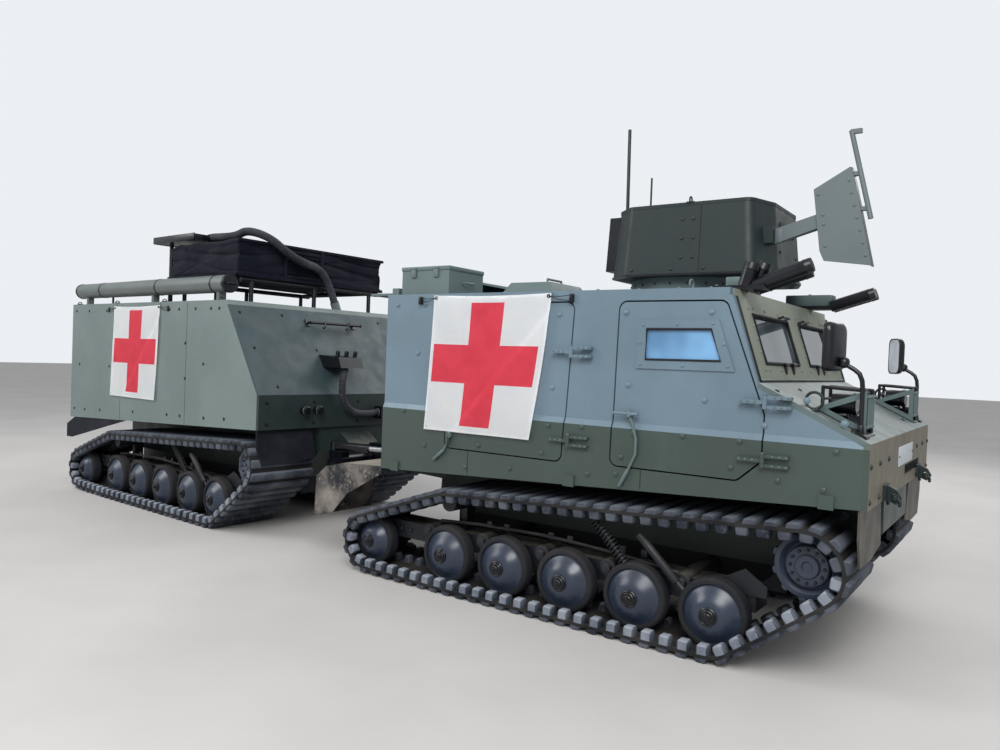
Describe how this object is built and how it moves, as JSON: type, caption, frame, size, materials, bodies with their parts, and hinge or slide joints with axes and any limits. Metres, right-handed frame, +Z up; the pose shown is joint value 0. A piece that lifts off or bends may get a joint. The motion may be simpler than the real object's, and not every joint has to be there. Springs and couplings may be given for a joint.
{
  "type": "two-car articulated tracked ambulance carrier",
  "caption": "Articulated tracked carrier in ambulance outfit: two armoured cars joined by a steering coupling, with cupola, side doors and red-cross banners.",
  "frame": {"origin": "on the ground under the middle of the overall box", "axes": "+X towards the front car's nose, +Y to its left, +Z up"},
  "size_m": [8.2379, 2.3999, 3.2518],
  "materials": {
    "hull_paint": "matt military green-grey paint",
    "dark_green_paint": "matt dark green paint",
    "black_steel": "black paint",
    "track_rubber": "worn black rubber",
    "wheel_paint": "dark grey paint, dusty",
    "window_glass": "dark armoured glass",
    "seat_cloth": "black woven cloth",
    "banner_cloth": "white cloth with a red cross",
    "canvas": "black coated canvas",
    "rubber_sheet": "black rubber sheet",
    "ram_steel": "bare ground steel",
    "tube_plastic": "pale green plastic",
    "hose_rubber": "dusty grey ribbed rubber",
    "iron": "cast iron"
  },
  "bodies": {
    "front_car": {"front_lower_hull": "dark_green_paint", "front_upper_hull": "hull_paint", "front_roof": "hull_paint", "nose_panel": "hull_paint", "bonnet": "hull_paint", "windscreen_frame": "hull_paint", "windscreen_glass": "window_glass", "cab_seats": "seat_cloth", "engine": "iron", "headlamps": "black_steel", "mirrors": "black_steel", "smoke_dischargers": "black_steel", "roof_boxes": "hull_paint", "tow_fittings": "hull_paint", "front_flaps": "rubber_sheet", "front_mudguards": "rubber_sheet", "front_hitch": "dark_green_paint", "front_tracks": "track_rubber", "front_wheels": "wheel_paint", "front_running_frame": "black_steel", "banner_front_left": "banner_cloth", "banner_front_right": "banner_cloth"},
    "front_door_left": {"front_door_left": "hull_paint", "door_window_left": "window_glass"},
    "front_door_right": {"front_door_right": "hull_paint", "door_window_right": "window_glass"},
    "side_door_left": {"side_door_left": "hull_paint"},
    "side_door_right": {"side_door_right": "hull_paint"},
    "roof_hatch": {"roof_hatch": "hull_paint"},
    "cupola": {"cupola_ring": "hull_paint", "cupola_shield": "dark_green_paint", "gun_shield": "hull_paint", "cupola_fittings": "black_steel"},
    "coupling_head": {"steering_head": "black_steel"},
    "drawbar": {"drawbar": "black_steel"},
    "ram_barrel_left": {"ram_barrel_left": "black_steel"},
    "ram_rod_left": {"ram_rod_left": "ram_steel"},
    "ram_barrel_right": {"ram_barrel_right": "black_steel"},
    "ram_rod_right": {"ram_rod_right": "ram_steel"},
    "rear_car": {"rear_hitch": "dark_green_paint", "rear_lower_hull": "dark_green_paint", "rear_upper_hull": "hull_paint", "rear_nose_panel": "dark_green_paint", "rear_slope_panel": "hull_paint", "rear_roof": "hull_paint", "roof_tube": "tube_plastic", "canopy_frame": "black_steel", "canopy_bag": "canvas", "rear_flaps": "rubber_sheet", "rear_mudguards": "rubber_sheet", "tool_rack": "black_steel", "rear_fittings": "black_steel", "roof_hose": "hose_rubber", "gap_hose": "hose_rubber", "gap_connectors": "black_steel", "rear_banners": "banner_cloth", "rear_tracks": "track_rubber", "rear_wheels": "wheel_paint", "rear_running_frame": "black_steel"},
    "rear_door": {"rear_door": "hull_paint"}
  },
  "joints": [
    {"name": "steer", "type": "hinge", "parent": "front_car", "child": "coupling_head", "pos_m": [0.195, -0.105, 0.72], "axis": [0, 0, 1], "range_deg": [-26.6, 33.4]},
    {"name": "pitch", "type": "hinge", "parent": "coupling_head", "child": "drawbar", "pos_m": [-0.24423, -0.07891, 0.66], "axis": [0.0593, 0.9982, 0], "range_deg": [-12, 12]},
    {"name": "roll", "type": "hinge", "parent": "drawbar", "child": "rear_car", "pos_m": [-0.44387, -0.06704, 0.66], "axis": [0.9982, -0.0593, 0], "range_deg": [-15, 15]},
    {"name": "cupola_turn", "type": "hinge", "parent": "front_car", "child": "cupola", "pos_m": [2.725, -0.105, 2.052], "axis": [0, 0, 1], "continuous": true},
    {"name": "hatch_open", "type": "hinge", "parent": "front_car", "child": "roof_hatch", "pos_m": [1.654, -0.635, 2.018], "axis": [0, -1, 0], "range_deg": [0, 100]},
    {"name": "rear_door_open", "type": "hinge", "parent": "rear_car", "child": "rear_door", "pos_m": [-3.94701, 0.6079, 1.4], "axis": [0, 0, -1], "range_deg": [0, 110]},
    {"name": "front_door_left_open", "type": "hinge", "parent": "front_car", "child": "front_door_left", "pos_m": [3.541, 0.977, 1.26], "axis": [0, 0, -1], "range_deg": [0, 75]},
    {"name": "side_door_left_open", "type": "hinge", "parent": "front_car", "child": "side_door_left", "pos_m": [2.405, 0.977, 1.4], "axis": [0, 0, -1], "range_deg": [0, 80], "deforming": ["banner_front_left"]},
    {"name": "front_door_right_open", "type": "hinge", "parent": "front_car", "child": "front_door_right", "pos_m": [3.541, -1.187, 1.26], "axis": [0, 0, 1], "range_deg": [0, 75]},
    {"name": "side_door_right_open", "type": "hinge", "parent": "front_car", "child": "side_door_right", "pos_m": [2.405, -1.187, 1.4], "axis": [0, 0, 1], "range_deg": [0, 80], "deforming": ["banner_front_right"]},
    {"name": "ram_swing_left", "type": "hinge", "parent": "coupling_head", "child": "ram_barrel_left", "pos_m": [-0.32211, 0.29637, 0.773], "axis": [0, 0, 1], "range_deg": [-1.9, 2.3]},
    {"name": "ram_slide_left", "type": "slide", "parent": "ram_barrel_left", "child": "ram_rod_left", "axis": [0.9447, -0.3278, 0], "range_m": [-0.092, 0.1153]},
    {"name": "ram_swing_right", "type": "hinge", "parent": "coupling_head", "child": "ram_barrel_right", "pos_m": [-0.36599, -0.44232, 0.773], "axis": [0, 0, 1], "range_deg": [-1.9, 2.3]},
    {"name": "ram_slide_right", "type": "slide", "parent": "ram_barrel_right", "child": "ram_rod_right", "axis": [0.9785, 0.206, 0], "range_m": [-0.1129, 0.0901]}
  ],
  "couplings": [
    {"joint": "ram_swing_left", "follows": "steer", "ratio": 0.06},
    {"joint": "ram_slide_left", "follows": "steer", "m_per_rad": 0.196},
    {"joint": "ram_swing_right", "follows": "steer", "ratio": 0.06},
    {"joint": "ram_slide_right", "follows": "steer", "m_per_rad": -0.192}
  ]
}
